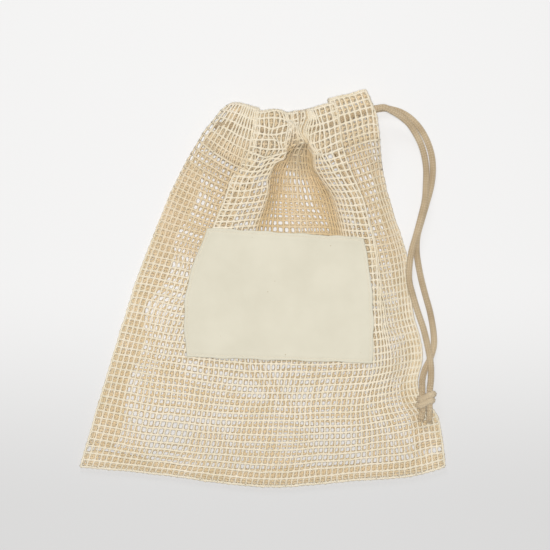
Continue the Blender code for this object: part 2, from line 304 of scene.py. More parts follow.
def let_light_through(tree, shader, colour):
    """Loose cotton also passes on light from behind, warmer than it came."""
    through = tree.nodes.new("ShaderNodeBsdfTranslucent")
    through.inputs["Color"].default_value = (*colour, 1.0)
    both = tree.nodes.new("ShaderNodeMixShader")
    both.inputs[0].default_value = GLOW_SHARE
    link(tree, shader.outputs["BSDF"], both.inputs[1])
    link(tree, through.outputs["BSDF"], both.inputs[2])
    link(tree, both.outputs["Shader"], tree.nodes["Material Output"].inputs["Surface"])


def thread_wave(tree, direction):
    """Ridges across the canvas, one for each thread."""
    wave = object_texture(tree, "Wave", Scale=520.0, Distortion=0.6, Detail=1.0)
    wave.bands_direction = direction
    return wave.outputs["Fac"]


def woven_canvas(name):
    """Plain-weave cotton: over-and-under threads, slubs, and a few dark seed flecks."""
    material, shader, tree = new_material(name, roughness=0.92, specular=0.15)
    add_sheen(shader, 0.2)
    weave = combined(tree, "MULTIPLY", thread_wave(tree, "X"), thread_wave(tree, "Y"))
    slubs = object_noise(tree, scale=900.0, detail=2.0)
    add_bump(tree, shader, combined(tree, "ADD", weave, slubs), 0.35, 0.0002)

    blotches = object_noise(tree, scale=38.0, detail=5.0)
    flecked = multiplied(tree, ramped(tree, blotches, CANVAS_LOW, CANVAS_HIGH, 0.32, 0.68))
    flecked.inputs["Factor"].default_value = 0.8
    seed_distance = object_texture(tree, "Voronoi", Scale=62.0).outputs["Distance"]
    link(tree, ramped(tree, seed_distance, SEED_TINT, WHITE, 0.028, 0.045), flecked.inputs["B"])
    link(tree, flecked.outputs["Result"], shader.inputs["Base Color"])
    return material


# ---------- curves and tubes


def smooth_step(t):
    t = np.clip(t, 0.0, 1.0)
    return t * t * (3.0 - 2.0 * t)


def spline(stations, values, at):
    """A smooth curve through values at the stations, read at every place in at."""
    stations, values, at = (np.asarray(each, float) for each in (stations, values, at))
    slopes = np.empty_like(values)
    gaps = (stations[2:] - stations[:-2]).reshape(-1, *[1] * (values.ndim - 1))
    slopes[1:-1] = (values[2:] - values[:-2]) / gaps
    slopes[0] = (values[1] - values[0]) / (stations[1] - stations[0])
    slopes[-1] = (values[-1] - values[-2]) / (stations[-1] - stations[-2])
    k = np.clip(np.searchsorted(stations, at, side="right") - 1, 0, len(stations) - 2)
    span = stations[k + 1] - stations[k]
    t = (at - stations[k]) / span
    shape = (-1, *[1] * (values.ndim - 1))
    t, span = t.reshape(shape), span.reshape(shape)
    h00 = 2 * t ** 3 - 3 * t ** 2 + 1
    h10 = t ** 3 - 2 * t ** 2 + t
    h01 = 3 * t ** 2 - 2 * t ** 3
    h11 = t ** 3 - t ** 2
    return h00 * values[k] + h10 * span * slopes[k] + h01 * values[k + 1] + h11 * span * slopes[k + 1]


def lengths_along(points):
    steps = np.linalg.norm(np.diff(points, axis=0), axis=1)
    return np.concatenate([[0.0], np.cumsum(steps)])


def read_along(line, values, wanted):
    """The values held at a line's points, read at the wanted distances along the line."""
    along = lengths_along(line)
    return np.stack([np.interp(wanted, along, values[:, axis]) for axis in range(values.shape[1])], axis=1)


def even_curve(points, count):
    """count points, evenly spaced, on a smooth curve through the points."""
    points = np.asarray(points, float)
    along = lengths_along(points)
    fine = spline(along, points, np.linspace(0.0, along[-1], 40 * len(points)))
    return read_along(fine, fine, np.linspace(0.0, lengths_along(fine)[-1], count))


def unit(vectors):
    return vectors / np.maximum(np.linalg.norm(vectors, axis=-1, keepdims=True), 1e-12)


def carried_normals(points):
    """A normal at each point of one curve, carried along it without twisting."""
    tangents = unit(np.gradient(points, axis=0))
    normals = np.empty_like(points)
    seed = np.array([0.0, 0.0, 1.0]) if abs(tangents[0][2]) < 0.9 else np.array([1.0, 0.0, 0.0])
    normals[0] = unit(seed - tangents[0] * (seed @ tangents[0]))
    for i in range(1, len(points)):
        normals[i] = unit(normals[i - 1] - tangents[i] * (normals[i - 1] @ tangents[i]))
    return normals


def sweep(paths, normals, radius, sides, squash=1.0, pitch=1.6, tone_and_painted_shade=0.0):
    """Round yarns along many paths of the same number of points.

    paths and normals have the shape (paths, points, 3), and radius and the amount of the darker tint
    (painted shade, and on a braid the darker carriers' tone) may differ from point to point.  Returns
    vertices, quads, end caps, and the yarn's twist and that amount at each vertex."""
    count, points = paths.shape[:2]
    tangents = unit(np.gradient(paths, axis=1))
    normals = unit(normals - tangents * np.sum(normals * tangents, axis=-1, keepdims=True))
    across = np.cross(tangents, normals)
    angles = 2.0 * math.pi * (np.arange(sides) + 0.25) / sides
    radius = np.broadcast_to(radius, (count, points))[..., None, None]
    ring = across[:, :, None] * np.cos(angles)[:, None]
    ring = ring + normals[:, :, None] * np.sin(angles)[:, None] * squash
    vertices = (paths[:, :, None] + ring * radius).reshape(-1, 3)
    i = np.arange(count * points * sides).reshape(count, points, sides)
    a, b = i[:, :-1], i[:, 1:]
    quads = np.stack([a, np.roll(a, -1, 2), np.roll(b, -1, 2), b], axis=-1).reshape(-1, 4)
    caps = np.concatenate([i[:, 0, ::-1], i[:, -1]])
    along = np.linalg.norm(np.diff(paths, axis=1, prepend=paths[:, :1]), axis=-1).cumsum(axis=1)
    twist = along[..., None] / pitch + np.arange(sides) / sides
    tones_and_painted_shade = np.repeat(np.broadcast_to(tone_and_painted_shade, (count, points)).reshape(-1), sides)
    return vertices, quads, caps, twist.reshape(-1), tones_and_painted_shade


def mesh_piece(name, parts, material, node):
    """One object, in place of a node of the frame, from parts that are each what sweep returns."""
    vertices, quads, caps, twist, tone_and_painted_shade = zip(*parts)
    loops, totals, offset = [], [], 0
    for part, own_quads, own_caps in zip(vertices, quads, caps):
        for faces in (own_quads, own_caps):
            loops.append((faces + offset).reshape(-1))
            totals.append(np.full(len(faces), faces.shape[1]))
        offset += len(part)
    vertices, loops, totals = np.concatenate(vertices) * MM, np.concatenate(loops), np.concatenate(totals)
    mesh = bpy.data.meshes.new(name)
    mesh.vertices.add(len(vertices))
    mesh.vertices.foreach_set("co", vertices.reshape(-1).astype(np.float32))
    mesh.loops.add(len(loops))
    mesh.loops.foreach_set("vertex_index", loops.astype(np.int32))
    mesh.polygons.add(len(totals))
    starts = np.concatenate([[0], np.cumsum(totals)[:-1]])
    mesh.polygons.foreach_set("loop_start", starts.astype(np.int32))
    mesh.update(calc_edges=True)
    mesh.validate()
    for label, values in (("twist", twist), ("tone_and_painted_shade", tone_and_painted_shade)):
        held = mesh.attributes.new(label, "FLOAT", "POINT")
        held.data.foreach_set("value", np.concatenate(values).astype(np.float32))
    mesh.shade_smooth()
    mesh.materials.append(material)
    piece = bpy.data.objects.new(name, mesh)
    bpy.context.scene.collection.objects.link(piece)
    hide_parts(node)
    return piece


# ---------- the cloth's shape

# Columns of the net that the folds are placed by: the left part, where it turns back under the first
# pleat, that pleat, the valley with its small gathers, the second pleat, and the part right of it
STATIONS = [
    0, 1, 4, 9.5, 13.5, 17.5, 21, 25, 27, 31, 35, 39, 42.5, 45.5, 49, 52.5, 55, 58, 61, 63, 64,
]
NECK = {
    "row": 33,
    "x": [-86, -82.5, -70, -47, -30, -42, -27, -9, -3, 12, 32, 52, 61, 67, 78, 91, 86, 95, 105, 109, 111],
    "y": [
        50, 49, 44.5, 38, 36, 40, 40.5, 40.5, 41, 40.5, 40, 39.5, 39.5, 39.5, 39.5, 40, 40, 43, 47, 50, 52,
    ],
    "z": [
        3.6, 4.2, 8, 12.5, 13.8, 16.2, 16.2, 16, 14.5, 11, 13, 11, 13.5, 16, 16.2, 16, 13.8, 12.5, 8,
        4.5, 3.6,
    ],
}
THROAT = {
    "row": 40,
    "x": [-75, -71.5, -59.5, -38, -22, -32, -17, 3, 5, 13, 29, 45.5, 55, 60, 71, 83, 75, 86, 96, 100.5, 103],
    "y": [
        85, 83.5, 77.5, 68, 65, 73, 74, 77, 77.5, 77.5, 77.5, 77.5, 76, 75.5, 75.5, 77.5, 76.5, 80, 85,
        88, 89.5,
    ],
    "z": [3.6, 5.5, 9, 13, 16, 18, 21.5, 21, 17, 7, 12, 7, 13, 19.5, 22, 21, 17, 13, 9, 5.5, 3.6],
}
UNDER_HEM = {
    "row": 43,
    "x": [-68.5, -65, -53.5, -31, -14, -26, -11, 4.5, 8, 15, 27, 39, 46, 50, 61, 74.5, 66, 78, 90, 96, 99],
    "y": [97, 95.3, 89, 79, 76, 90, 90, 93, 96, 97, 97, 97, 94, 91.5, 92, 95, 93, 98, 102, 104, 104.5],
    "z": [4.2, 8, 12, 15, 17, 20, 25, 24, 18, 7, 12, 7, 14, 22, 25.5, 24, 19, 16, 13, 8, 4.2],
}
HEM_LINE = {
    "row": 47,
    "x": [
        -57.5, -54.5, -44, -24, -9, -15, 1, 17.5, 20, 25, 29.5, 34, 37.5, 41, 52, 66, 58, 70.5, 83, 91, 94,
    ],
    "y": [
        112, 110, 104, 95, 92, 107, 106, 108, 112, 116.5, 117, 116.5, 111, 108, 110, 116, 112, 117, 122,
        124, 124.5,
    ],
}
MOUTH_LINE = {
    "row": 53,
    "x": [
        -28.5, -25.5, -17.5, -8, -3, -4, 6, 19, 20.5, 24.5, 28.5, 32.5, 35.5, 38, 46.5, 59.5, 54, 62, 75,
        84.5, 87,
    ],
    "y": [
        148.5, 149.8, 149, 146, 144.5, 143.3, 143.5, 142.6, 142.3, 142.6, 142.8, 142.7, 143.1, 143.6, 146.5,
        150.5, 152.2, 154.4, 157.4, 160, 155,
    ],
}
# Painted shade at each station, from 0 to 1, heaviest where it lies deep in the folds, and the rows that
# this fades in and out over
FOLD_SHADE = [
    0.3, 0.35, 0.4, 0.7, 0.75, 0, 0, 0.25, 1, 0.9, 0.55, 0.9, 1, 0.4, 0, 0, 0.8, 0.45, 0.3, 0.2, 0.2,
]
FOLD_ROWS = (27.0, 34.0, 46.0, 51.0)
# How far each station of the hem bulges out past the cord's channel
HEM_RELIEF = [0, 0, 1.5, 3, 0, 2.8, 4.2, 4.2, 1.5, 0.5, 1, 0.5, 1.5, 3.5, 4.8, 4.8, 0.6, 2, 3, 1.5, 0.5]
# How far each station of the hem has turned from its own channel's level to the left seam's level
TURN_SHARE = [1, 0.62, 0.12] + [0] * 18
UNDER_PATCH_COLUMNS = (13.5, 50.0)
UNDER_PATCH_X = (-62.6, 91.4)
# Small tight folds: the columns they lie between, their edges' width, and the rows they grow over
GATHERS = (25.2, 42.2)
GATHER_EDGE = 1.5
GATHER_ROWS = (43.0, 47.0)
GATHER_PERIOD = 4.2
GATHER_DEPTH = 6.4
GATHER_OVERHANG = 1.1
# Buckling of the crowded cloth round them, in the same terms
CRUMPLED = (17.0, 51.0)
CRUMPLE_EDGE = 6.0
CRUMPLE_ROWS = (41.0, 45.0)
CRUMPLE = 2.1
CRUMPLE_WAVELENGTH = 13.0
CRUMPLE_RELIEF = 0.6
# Columns and rows over which the under layer moves to lie behind the openings right of the folds
COVER_COLUMNS = (48.0, 52.0)
COVER_EDGE = 3.0
COVER_ROWS = (40.0, 44.0)
COVER_SHARE = 0.5

# Levels
FLOOR_YARN = 0.95
FRONT_EDGE = 3.6
PLATEAU = 16.3
PATCH_TOP_ROW = 35
FRONT_CHANNEL, BACK_CHANNEL, SEAM_LEVEL = 20.6, 4.3, 12.4
CHANNEL_HALF = 3.45
HEM_PINCH = 0.9
# Guide rows below the folds: the row, its sag in the middle, and its level
LOW_ROWS = ((4, 14.5, 11.0), (8, 14.0, PLATEAU), (17, 12.0, PLATEAU))
# The upper layer climbs from its side seams between these distances from them
SIDE_SLOPE = (8.0, 31.0)
# The under layer's share of the folds' height above this level
LIFT_FROM, LIFT_SHARE = 12.0, 0.3

RELAX_ROUNDS = 80
RELAX_KEEP = 0.06
# The waves that make up a drift, and the usual size of their sum
DRIFT_WAVES, DRIFT_SUM = 7, 2.6
DRIFT_WAVELENGTH = 60.0
FRONT_DRIFT, BACK_DRIFT = 0.7, 2.2
FRONT_SEED, BACK_SEED, CRUMPLE_SEED = 3, 8, 21

ALL_COLUMNS = np.arange(COLUMNS + 1, dtype=float)
ALL_ROWS = np.arange(ROWS + HEM_ROWS + 1, dtype=float)


def rise(at, start, end):
    """0 up to start, 1 from end on, and smooth between them."""
    return smooth_step((at - start) / (end - start))


def window(at, bounds, edge):
    """1 between the bounds, with a smooth edge of its own width inside each of them."""
    return rise(at, bounds[0], bounds[0] + edge) * rise(-at, -bounds[1], edge - bounds[1])


def side_points(edge):
    """Where each row of the net meets a side edge."""
    return even_curve(edge, ROWS + HEM_ROWS + 1)


def plain_guide(row, sag, level):
    """A guide row across the bag below the folds, drawn between the side edges."""
    left, right = side_points(LEFT_EDGE)[row], side_points(RIGHT_EDGE)[row]
    stations = np.array(STATIONS, float)
    share = stations / COLUMNS
    even = left[0] + (right[0] - left[0]) * share
    bunched = np.interp(
        stations, [0.0, *UNDER_PATCH_COLUMNS, COLUMNS], [left[0], *UNDER_PATCH_X, right[0]]
    )
    x = even + (bunched - even) * row / LOW_ROWS[-1][0]
    y = left[1] + (right[1] - left[1]) * share - sag * 4.0 * share * (1.0 - share)
    inside = np.minimum(x - left[0], right[0] - x)
    z = FRONT_EDGE + (level - FRONT_EDGE) * rise(inside, *SIDE_SLOPE)
    return {"row": row, "x": x, "y": y, "z": z}


def bottom_guide():
    """The guide row along the bottom seam."""
    x = BOTTOM_EDGE[0][0] + NET_WIDTH * np.array(STATIONS) / COLUMNS
    edge = np.array(BOTTOM_EDGE)
    y = spline(edge[:, 0], edge[:, 1], x)
    return {"row": 0, "x": x, "y": y, "z": np.full(len(x), FRONT_EDGE)}


def low_guides():
    """The guide rows from the bottom seam up to the folds."""
    return [bottom_guide(), *(plain_guide(*low) for low in LOW_ROWS)]


def gathered(rows):
    """Where the small tight folds in the middle of the mouth are, from 0 to 1."""
    return window(ALL_COLUMNS, GATHERS, GATHER_EDGE) * rise(rows, *GATHER_ROWS)[:, None]


def gather_wave(rows, turns=1.0):
    """Those folds' rise and fall, from -1 to 1."""
    uneven = 0.78 + 0.22 * np.sin(1.9 * ALL_COLUMNS + 0.25 * rows[:, None])
    phase = 2.0 * math.pi * turns * (ALL_COLUMNS - GATHERS[0]) / GATHER_PERIOD
    return np.sin(phase) * gathered(rows) * uneven


def soft_field(lattice, size, wavelength, seed):
    """A slow drift of the yarns in the cloth's plane."""
    random = np.random.default_rng(seed)
    drift = np.zeros((*lattice.shape[:2], 2))
    for _ in range(DRIFT_WAVES):
        direction = random.normal(size=2)
        direction *= 2.0 * math.pi / (np.linalg.norm(direction) * wavelength * random.uniform(0.7, 1.6))
        phase = lattice[..., :2] @ direction + random.uniform(0.0, 6.3)
        drift += np.sin(phase)[..., None] * random.normal(size=2)
    return drift * size / DRIFT_SUM


def crumple(lattice):
    """The crowded cloth in the middle of the mouth buckles in no particular order."""
    crowded = window(ALL_COLUMNS, CRUMPLED, CRUMPLE_EDGE) * rise(ALL_ROWS, *CRUMPLE_ROWS)[:, None]
    return soft_field(lattice, CRUMPLE, CRUMPLE_WAVELENGTH, CRUMPLE_SEED) * crowded[..., None]


def fold_shade():
    """Painted shade on each crossing's yarn, from 0 to 1: deep in the folds, and in the creases of the small
    tight folds.
    """
    low_start, low_end, high_start, high_end = FOLD_ROWS
    near_folds = rise(ALL_ROWS, low_start, low_end) * rise(-ALL_ROWS, -high_end, -high_start)
    deep_shade = np.interp(ALL_COLUMNS, STATIONS, FOLD_SHADE) * near_folds[:, None]
    # Painted shade in the creases between the small folds
    crease_shade = np.clip(0.5 * (gathered(ALL_ROWS) - gather_wave(ALL_ROWS)), 0.0, 1.0) ** 2
    return np.maximum(deep_shade, crease_shade)


def lattice_from(guides, levels):
    """Every crossing's place, rows by columns: guides give x and y, levels give z."""
    flat = [spline(STATIONS, np.stack([g["x"], g["y"]], axis=1), ALL_COLUMNS) for g in guides]
    heights = [np.interp(ALL_COLUMNS, STATIONS, g["z"]) for g in levels]
    flat = spline([g["row"] for g in guides], np.array(flat), ALL_ROWS)
    heights = spline([g["row"] for g in levels], np.array(heights), ALL_ROWS)
    lattice = np.concatenate([flat, heights[..., None]], axis=-1)
    left, right = side_points(LEFT_EDGE), side_points(RIGHT_EDGE)
    share = ALL_COLUMNS / COLUMNS
    lattice[:, :, :2] += (left - lattice[:, 0, :2])[:, None] * ((1.0 - share) ** 4)[None, :, None]
    lattice[:, :, :2] += (right - lattice[:, -1, :2])[:, None] * (share ** 4)[None, :, None]
    return lattice


def relax(lattice):
    """Let the cloth settle: yarns may bunch but not stretch, and folds round off.

    The outline and the hem stay where they are, and each crossing is drawn back to its place a little."""
    home = lattice.copy()
    free = np.ones((*lattice.shape[:2], 1))
    free[:, [0, -1]] = 0.0
    free[0] = 0.0
    free[ROWS:] = 0.0
    limits = (
        (np.s_[:, :-1], np.s_[:, 1:], 0.5 * COLUMN_PITCH, COLUMN_PITCH, 0.7),
        (np.s_[:-1], np.s_[1:], 0.88 * ROW_PITCH, 1.03 * ROW_PITCH, 0.7),
        (np.s_[:, :-2], np.s_[:, 2:], 0.7 * COLUMN_PITCH, 2.1 * COLUMN_PITCH, 0.2),
        (np.s_[:-2], np.s_[2:], 1.75 * ROW_PITCH, 2.1 * ROW_PITCH, 0.35),
    )
    for _ in range(RELAX_ROUNDS):
        move = RELAX_KEEP * (home - lattice)
        for a, b, low, high, strength in limits:
            gap = lattice[b] - lattice[a]
            length = np.linalg.norm(gap, axis=-1, keepdims=True)
            excess = (length - np.clip(length, low, high)) / np.maximum(length, 1e-9)
            move[a] += 0.5 * strength * excess * gap
            move[b] -= 0.5 * strength * excess * gap
        lattice = lattice + 0.5 * free * move
    return lattice


def hem_middle(lattice, channel):
    """The hem's middle face, which the cord runs in, level but for the turn at the left seam."""
    turn = np.interp(ALL_COLUMNS, STATIONS, TURN_SHARE)
    middle = lattice[ROWS:].copy()
    middle[..., 2] = channel + (SEAM_LEVEL - channel) * turn
    return middle


def hem_bulge():
    """Half the hem's thickness at each of its rows, from the stitched line to the top fold."""
    share = np.arange(HEM_ROWS + 1) / HEM_ROWS
    return HEM_PINCH + (CHANNEL_HALF - HEM_PINCH) * np.sqrt(np.clip(4.0 * share * (1.0 - share), 0.0, 1.0))


def hem_faces(middle, outward, relief):
    """The hem's outer and inner faces, on either side of its middle."""
    normals = surface_normals(middle) * outward
    bulge = hem_bulge()[:, None, None]
    outer = middle + normals * (bulge + relief[..., None])
    inner = middle - normals * bulge
    return outer, inner


def front_relief():
    rows = ALL_ROWS[ROWS:]
    bulge = np.interp(ALL_COLUMNS, STATIONS, HEM_RELIEF)
    return bulge + 0.5 * GATHER_DEPTH * (window(ALL_COLUMNS, GATHERS, GATHER_EDGE) + gather_wave(rows))


def hem_levels(channel, pinch, relief):
    """Level of each station along both edges of the hem."""
    level = channel + pinch + relief + (SEAM_LEVEL - channel) * np.array(TURN_SHARE)
    return [{"row": ROWS, "z": level}, {"row": ROWS + HEM_ROWS, "z": level}]


def front_layer():
    """The upper layer's lattice, and the hem's inner face."""
    low, folds = low_guides(), [NECK, THROAT, UNDER_HEM]
    levels = [*low, *folds, *hem_levels(FRONT_CHANNEL, HEM_PINCH, np.array(HEM_RELIEF))]
    lattice = lattice_from([*low, *folds, HEM_LINE, MOUTH_LINE], levels)
    lattice[..., 2] += 0.5 * GATHER_DEPTH * gather_wave(ALL_ROWS)
    lattice[..., 0] -= GATHER_OVERHANG * gather_wave(ALL_ROWS, turns=2.0)
    buckle = crumple(lattice)
    lattice[..., :2] += buckle
    relief = front_relief() + CRUMPLE_RELIEF * (buckle[ROWS:, :, 0] + buckle[ROWS:, :, 1])
    outer, inner = hem_faces(hem_middle(lattice, FRONT_CHANNEL), 1.0, relief)
    lattice[ROWS:] = outer
    lattice = relax(lattice)
    lattice[:PATCH_TOP_ROW, :, 2] = np.minimum(lattice[:PATCH_TOP_ROW, :, 2], PLATEAU)
    drift = soft_field(lattice, FRONT_DRIFT, DRIFT_WAVELENGTH, FRONT_SEED)
    lattice[2:ROWS, 2:-2, :2] += drift[2:ROWS, 2:-2]
    lattice[:ROWS, :, 2] = np.maximum(lattice[:ROWS, :, 2], FRONT_EDGE)
    return lattice, inner


def back_layer():
    """The under layer's lattice, which lies on the floor, and the hem's inner face."""
    low = [{**guide, "z": np.full(len(STATIONS), FLOOR_YARN)} for guide in low_guides()]
    folds = []
    for source in (NECK, THROAT, UNDER_HEM):
        lift = LIFT_SHARE * np.maximum(np.array(source["z"], float) - LIFT_FROM, 0.0)
        folds.append({**source, "z": FLOOR_YARN + lift})
    levels = [*low, *folds, *hem_levels(BACK_CHANNEL, -HEM_PINCH, 0.0)]
    lattice = lattice_from([*low, *folds, HEM_LINE, MOUTH_LINE], levels)
    covered = rise(ALL_COLUMNS, *COVER_COLUMNS) * smooth_step((COLUMNS - ALL_COLUMNS) / COVER_EDGE)
    covered = covered * rise(ALL_ROWS, *COVER_ROWS)[:, None]
    lattice = shifted_cloth(lattice, COVER_SHARE * covered)
    flat_relief = np.zeros((HEM_ROWS + 1, COLUMNS + 1))
    outer, inner = hem_faces(hem_middle(lattice, BACK_CHANNEL), -1.0, flat_relief)
    lattice[ROWS:] = outer
    lattice = relax(lattice)
    drift = soft_field(lattice, BACK_DRIFT, DRIFT_WAVELENGTH, BACK_SEED)
    lattice[2:ROWS, 2:-2, :2] += drift[2:ROWS, 2:-2]
    lattice[..., 2] = np.maximum(lattice[..., 2], FLOOR_YARN)
    return lattice, inner


def surface_normals(lattice):
    across = np.gradient(lattice, axis=1)
    up = np.gradient(lattice, axis=0)
    return unit(np.cross(across, up))


# ---------- pieces of net

# Radius of the yarns up and across the bag, how much they swell where they knot, and their section
COLUMN_YARN, ROW_YARN = 0.92, 1.02
KNOT_SWELL = 0.28
YARN_FLATNESS = 0.78
YARN_STEPS, YARN_SIDES = 2, 6
# How unevenly the net is made: its crossings' places, along X, Y and Z, and its yarns' radius
CROSSING_SPREAD = np.array([0.14, 0.14, 0.042])
RADIUS_SPREAD = 0.06
# Painted shade on the net that lies under another layer, and on the hem's turned-in face
UNDER_LAYER_SHADE = 0.64
TURNED_IN_SHADE = 0.55
# Each layer of a seam allowance: how far its cells lie off the back net's, and its height over them
ALLOWANCE_LAYERS = ((0.35, 0.9), (0.7, 1.8))
# The row that the side seams end at, and how many columns or rows an allowance takes
SEAM_TOP = 45
ALLOWANCE_COLUMNS = 5
ALLOWANCE_ROWS = 3
# How far the fold at the mouth reaches past the hem's two faces
FOLD_REACH = 1.4
# How far the hem's turned-in faces lie off its outer ones, in cells
FRONT_SHIFT, BACK_SHIFT = 0.4, 0.72


def refined(lattice, axis):
    """The lattice with a smooth curve's points between its crossings along one axis."""
    count = lattice.shape[axis]
    moved = np.moveaxis(lattice, axis, 0)
    fine = spline(np.arange(count), moved, np.arange((count - 1) * YARN_STEPS + 1) / YARN_STEPS)
    return np.moveaxis(fine, 0, axis)


def net_parts(lattice, tone_and_painted_shade):
    """Yarns up and across a lattice, thicker where they knot.  The amount of painted shade is for each
    crossing, or for all.
    """
    tone_and_painted_shade = np.broadcast_to(tone_and_painted_shade, lattice.shape[:2])
    lattice = lattice + RNG.normal(0.0, 1.0, lattice.shape) * CROSSING_SPREAD
    parts = []
    for axis, radius in ((0, COLUMN_YARN), (1, ROW_YARN)):
        fine, shade = refined(lattice, axis), refined(tone_and_painted_shade, axis)
        normals = surface_normals(fine)
        if axis == 0:
            fine, normals, shade = np.moveaxis(fine, 1, 0), np.moveaxis(normals, 1, 0), shade.T
        at = np.arange(fine.shape[1]) / YARN_STEPS
        swell = 1.0 + KNOT_SWELL * np.cos(2.0 * math.pi * at)
        uneven = 1.0 + RNG.normal(0.0, RADIUS_SPREAD, fine.shape[:2])
        parts.append(
            sweep(fine, normals, radius * swell * uneven, YARN_SIDES, squash=YARN_FLATNESS, tone_and_painted_shade=shade)
        )
    return parts


def shifted_cloth(lattice, share, lift=0.0):
    """The cloth with its yarns moved by a share of a cell, to lie between another layer's."""
    share = np.broadcast_to(share, lattice.shape[:2])[..., None]
    moved = lattice.copy()
    moved[:-1] += share[:-1] * (lattice[1:] - lattice[:-1])
    moved[:, :-1] += share[:, :-1] * (lattice[:, 1:] - lattice[:, :-1])
    moved[..., 2] += lift
    return moved


def seam_allowance(seam, lattice, material):
    """The cut edges of both layers, folded inside a seam."""
    parts = []
    for share, lift in ALLOWANCE_LAYERS:
        # The folded allowances carry the painted shade of a layer under another
        parts += net_parts(shifted_cloth(lattice, share, lift), UNDER_LAYER_SHADE)
    return mesh_piece(f"{seam}_allowance_net", parts, material, f"{seam}_seam_allowance")


def seam_allowances(back, material):
    """The allowances of the left, right and bottom seams."""
    side = back[ALLOWANCE_ROWS:SEAM_TOP]
    cloths = {
        "left": side[:, :ALLOWANCE_COLUMNS], "right": side[:, -ALLOWANCE_COLUMNS:],
        "bottom": back[:ALLOWANCE_ROWS],
    }
    return [seam_allowance(seam, cloth, material) for seam, cloth in cloths.items()]


def hem_net(layer, outer, inner, tone_and_painted_shade, shift, material):
    """The hem: its outer face, the fold at the mouth and the turned-in face, as one piece of net."""
    fold = (outer[-1] + inner[-1]) / 2.0 + unit(outer[-1] - outer[-2]) * FOLD_REACH
    turned_in = shifted_cloth(inner[::-1], shift)
    whole = np.concatenate([outer, fold[None], turned_in])
    # The turned-in face is darkened with painted shade
    deep_shade = np.full(turned_in.shape[:2], TURNED_IN_SHADE)
    tones_and_painted_shade = np.concatenate([tone_and_painted_shade, tone_and_painted_shade[-1:], deep_shade])
    return mesh_piece(f"{layer}_hem_net", net_parts(whole, tones_and_painted_shade), material, f"{layer}_casing")


# ---------- threads

STITCH = 3.2
STITCH_STEPS = 8
THREAD = 0.3
THREAD_SIDES = 5
THREAD_PITCH = 0.8
# A hem stitch's height over the cloth, and how far the thread dips between two stitches
HEM_LIFT, HEM_DIP = 0.75, 1.3
# The seam thread's middle inside the edge, its reach either way, and its reach past the two layers
WRAP_INSET, WRAP_REACH, WRAP_MARGIN = 0.8, 1.0, 0.6


def thread_part(points, normals, radius=THREAD):
    return sweep(points[None], normals[None], radius, THREAD_SIDES, pitch=THREAD_PITCH)


def stitched_places(line):
    """Distances along a line at which its stitches' shape is drawn."""
    return np.arange(0.0, lengths_along(line)[-1], STITCH / STITCH_STEPS)


def stitch_dips(wanted):
    """1 where the thread goes through the cloth, and 0 along the stitches."""
    return np.maximum(0.0, np.cos(2.0 * math.pi * wanted / STITCH)) ** 4


def hem_stitches(layer, lattice, way, material):
    """A row of stitches along a layer's hem, on its outer side, which way is 1 or -1 for."""
    line, normals = lattice[ROWS, 1:-1], surface_normals(lattice)[ROWS, 1:-1] * way
    wanted = stitched_places(line)
    up = read_along(line, normals, wanted)
    height = HEM_LIFT - HEM_DIP * stitch_dips(wanted)
    parts = [thread_part(read_along(line, line, wanted) + unit(up) * height[:, None], up)]
    return mesh_piece(f"{layer}_hem_stitches", parts, material, f"{layer}_casing_stitching")


def seam_stitches(seam, front_edge, back_edge, inward, material):
    """A thread that wraps both layers together along an edge."""
    middle = (front_edge + back_edge) / 2.0
    wanted = stitched_places(middle)
    half = (front_edge[:, 2:] - back_edge[:, 2:]) / 2.0 + WRAP_MARGIN
    half = read_along(middle, half, wanted)[:, 0]
    turn = 2.0 * math.pi * wanted / STITCH
    sideways = np.array(inward) * (WRAP_INSET + WRAP_REACH * np.cos(turn))[:, None]
    points = read_along(middle, middle, wanted) + sideways
    points[:, 2] = np.maximum(points[:, 2] + half * np.sin(turn), THREAD)
    parts = [thread_part(points, upright(points))]
    return mesh_piece(f"{seam}_seam_stitches", parts, material, f"{seam}_seam_thread")


def upright(points):
    """A normal straight up for each point."""
    return np.tile([0.0, 0.0, 1.0], (len(points), 1))


def seam_threads(front, back, material):
    """The stitches of the left, right and bottom seams."""
    edges = {
        "left": (np.s_[:SEAM_TOP, 0], (1.0, 0.0, 0.0)), "right": (np.s_[:SEAM_TOP, -1], (-1.0, 0.0, 0.0)),
        "bottom": (np.s_[0, 1:-1], (0.0, 1.0, 0.0)),
    }
    return [
        seam_stitches(seam, front[edge], back[edge], inward, material)
        for seam, (edge, inward) in edges.items()
    ]


# ---------- canvas patch

PATCH_CORNERS = np.array([(-62.0, -57.0), (90.0, -62.0), (83.0, 41.0), (-44.5, 49.0)])
PATCH_WIDTH = float(np.linalg.norm(PATCH_CORNERS[1] - PATCH_CORNERS[0]))
PATCH_HEIGHT = float(np.linalg.norm(PATCH_CORNERS[3] - PATCH_CORNERS[0]))
PATCH_LEFT_BULGE = 9.4
PATCH_RIGHT_BULGE = 3.7
PATCH_LEVEL = 17.2
PATCH_THICKNESS = 1.15
PATCH_STITCH_INSET = 2.5
PATCH_THREAD = 0.27
# The turned-in edge: its width, the step it makes, and the width of that step
PATCH_FOLD, FOLD_STEP, FOLD_SLOPE = 6.0, 0.18, 0.7
# The furrow that the stitches pull, and the rounding of the edge
FURROW_DEPTH, FURROW_WIDTH = 0.30, 0.55
EDGE_ROUNDING, EDGE_DROP = 1.0, 0.8
# How far in the edge's ripples reach, in height and in the outline
RIPPLE_REACH, OUTLINE_REACH = 5.0, 2.0
PATCH_EDGE_STEPS = [0.0, 0.12, 0.35, 0.7, 1.2, 1.8, 2.3, 2.7, 3.3, 4.2, 5.6, 6.2, 7.5]
PATCH_STEP = 1.6
# Heights of the patch's stitches over its face, and of their dips under it
PATCH_LIFT, PATCH_DIP = 0.2, 0.6


